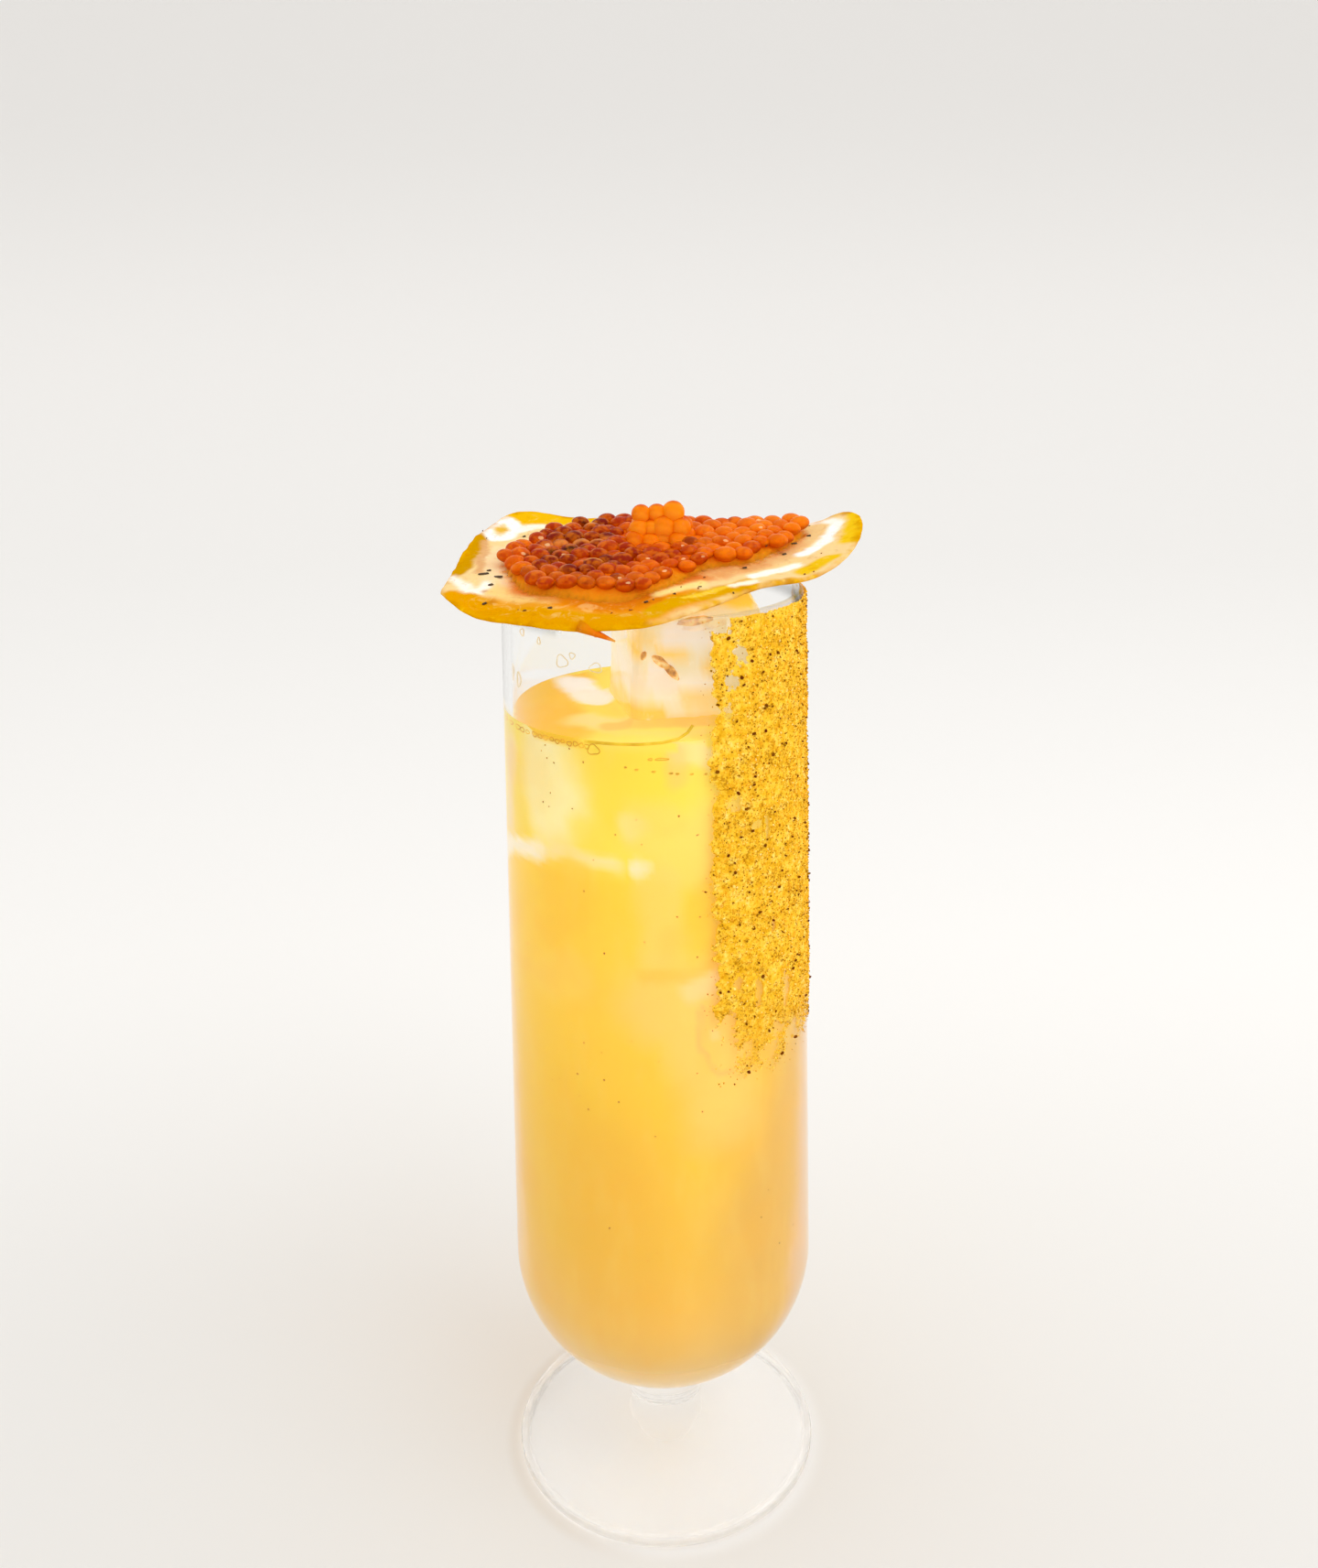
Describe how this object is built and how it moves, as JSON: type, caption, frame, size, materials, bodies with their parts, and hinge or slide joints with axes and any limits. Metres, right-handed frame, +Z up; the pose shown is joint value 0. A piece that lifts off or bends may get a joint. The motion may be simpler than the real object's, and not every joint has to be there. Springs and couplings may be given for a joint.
{
  "type": "michelada",
  "caption": "Tall footed beer glass filled with a golden beer and lime drink and ice, a band of spice down its side and a thin crisp with orange roe across the rim",
  "frame": {"origin": "on the glass's axis, in the plane that the foot stands on", "axes": "+Z up along the glass's axis; the camera of the picture looks along +Y with +X to its right"},
  "size_m": [0.0849, 0.0746, 0.236],
  "materials": {
    "clear_glass": "smooth clear glass",
    "amber_drink": "slightly cloudy golden drink, yellow near the top and amber below",
    "clear_ice": "wet melting ice with dried brown flakes on it",
    "golden_spice": "sandy crust of golden spice with dark flecks",
    "golden_crisp": "thin translucent crisp, yellow at the border, marbled cream and peach inside",
    "orange_roe": "wet translucent orange eggs"
  },
  "bodies": {
    "root": {"glass": "clear_glass", "drink": "amber_drink", "ice_block": "clear_ice", "spice_crust": "golden_spice", "crisp": "golden_crisp", "roe": "orange_roe"}
  },
  "joints": []
}
